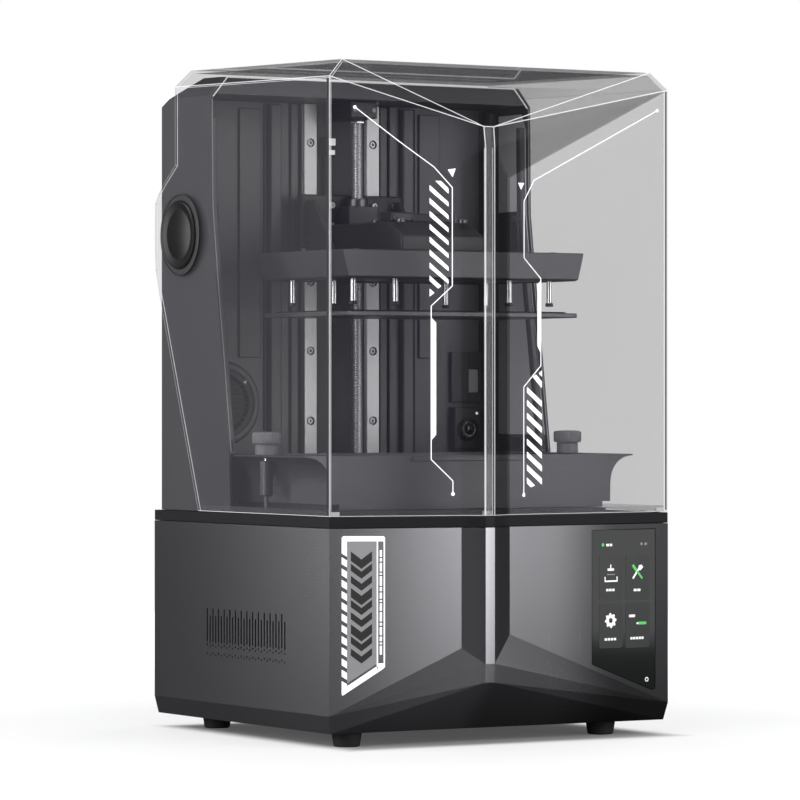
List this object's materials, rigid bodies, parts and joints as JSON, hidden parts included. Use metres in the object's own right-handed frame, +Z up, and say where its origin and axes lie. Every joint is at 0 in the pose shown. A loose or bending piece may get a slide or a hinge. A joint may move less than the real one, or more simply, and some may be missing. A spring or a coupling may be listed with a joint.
{
  "type": "resin printer",
  "caption": "Desktop resin printer: faceted metal base with touch screen, tinted flip-up lid, rear screw column, levelling build platform and tilting resin vat.",
  "frame": {"origin": "bottom centre of the whole object, on the plane of the feet", "axes": "+Z up, front with the ridge and the screen faces -Y, +X to the right seen from the front"},
  "size_m": [0.3278, 0.3282, 0.5533],
  "materials": {
    "case_grey": "satin, finely brushed dark grey",
    "dark_trim": "satin",
    "smoke_lid": "glossy, smoke tinted, see-through",
    "black_plastic": "satin",
    "steel": "ground",
    "aluminium": "bead blasted",
    "rubber": "matte",
    "screen": "black glass",
    "circuit": "matte",
    "clear_glass": "clear",
    "film": "clear film",
    "lamp": "diffuser",
    "vat_metal": "satin anodised",
    "motor_black": "satin"
  },
  "bodies": {
    "base": {"base_shell": "case_grey", "bottom_plate": "dark_trim", "deck_plate": "dark_trim", "foot_front_left": "rubber", "foot_front_right": "rubber", "foot_rear_left": "rubber", "foot_rear_right": "rubber", "screen_glass": "screen", "mainboard": "circuit", "power_supply": "aluminium", "light_engine_housing": "dark_trim", "light_engine_lens": "clear_glass", "z_motor": "motor_black", "tilt_motor": "motor_black", "fan_frame": "black_plastic", "power_inlet": "black_plastic", "usb_port": "steel", "column_shell": "dark_trim", "z_backbone": "aluminium", "fascia_left": "dark_trim", "fascia_right": "dark_trim", "rail_left": "steel", "rail_right": "steel", "screw_top_bearing": "black_plastic", "endstop_sensor": "black_plastic", "filter_cover": "black_plastic", "camera_housing": "black_plastic", "camera_lens": "clear_glass", "light_bar": "lamp", "hinge_pin_left": "steel", "hinge_pin_right": "steel"},
    "fan": {"fan_rotor": "black_plastic"},
    "switch": {"power_switch": "black_plastic"},
    "screw": {"ball_screw": "steel"},
    "carriage": {"carriage_plate": "aluminium", "rail_block_left": "steel", "rail_block_right": "steel", "screw_nut": "aluminium", "platform_arm": "black_plastic", "platform_block": "aluminium", "post_1a": "steel", "post_1b": "steel", "post_2a": "steel", "post_2b": "steel", "post_3a": "steel", "post_3b": "steel", "post_4a": "steel", "post_4b": "steel"},
    "lever": {"release_lever": "black_plastic"},
    "plate": {"build_plate": "aluminium"},
    "bed": {"tilt_frame": "dark_trim", "lcd_panel": "screen", "vat_body": "vat_metal", "release_film": "film"},
    "knob_left": {"vat_knob_left": "black_plastic"},
    "knob_right": {"vat_knob_right": "black_plastic"},
    "pusher": {"tilt_pusher": "steel"},
    "lid": {"lid_shell": "smoke_lid", "hinge_cap_left": "black_plastic", "hinge_cap_right": "black_plastic"}
  },
  "joints": [
    {"name": "lid_hinge", "type": "hinge", "parent": "base", "child": "lid", "pos_m": [0, 0.11805, 0.4145], "axis": [-1, 0, 0], "range_deg": [0, 88]},
    {"name": "z_slide", "type": "slide", "parent": "base", "child": "carriage", "axis": [0, 0, 1], "range_m": [-0.156, 0.064]},
    {"name": "screw_spin", "type": "hinge", "parent": "base", "child": "screw", "pos_m": [0, 0.10085, 0.35], "axis": [0, 0, 1], "range_deg": [-5780, 14060]},
    {"name": "plate_float", "type": "slide", "parent": "carriage", "child": "plate", "axis": [0, 0, 1], "range_m": [0, 0.0038], "stiffness_N_per_m": 2000, "springref_m": -0.003},
    {"name": "release_lever_turn", "type": "hinge", "parent": "carriage", "child": "lever", "pos_m": [-0.024, -0.00315, 0.428], "axis": [0, 0, 1], "range_deg": [0, 75]},
    {"name": "bed_tilt", "type": "hinge", "parent": "base", "child": "bed", "pos_m": [0, 0.08485, 0.1815], "axis": [1, 0, 0], "range_deg": [0, 2.6]},
    {"name": "tilt_push", "type": "slide", "parent": "base", "child": "pusher", "axis": [0, 0, 1], "range_m": [-0.0079, 0.0002]},
    {"name": "knob_left_turn", "type": "hinge", "parent": "bed", "child": "knob_left", "pos_m": [-0.1468, -0.00245, 0.24], "axis": [0, 0, 1], "range_deg": [0, 1080]},
    {"name": "knob_right_turn", "type": "hinge", "parent": "bed", "child": "knob_right", "pos_m": [0.1468, -0.00245, 0.24], "axis": [0, 0, 1], "range_deg": [0, 1080]},
    {"name": "switch_rock", "type": "hinge", "parent": "base", "child": "switch", "pos_m": [-0.08, 0.15935, 0.052], "axis": [1, 0, 0], "range_deg": [-7, 7]},
    {"name": "fan_spin", "type": "hinge", "parent": "base", "child": "fan", "pos_m": [0.088, 0.15285, 0.11], "axis": [0, 1, 0], "continuous": true}
  ],
  "couplings": [
    {"joint": "screw_spin", "follows": "z_slide", "rad_per_m": -1570.8},
    {"joint": "tilt_push", "follows": "bed_tilt", "m_per_rad": -0.17}
  ]
}
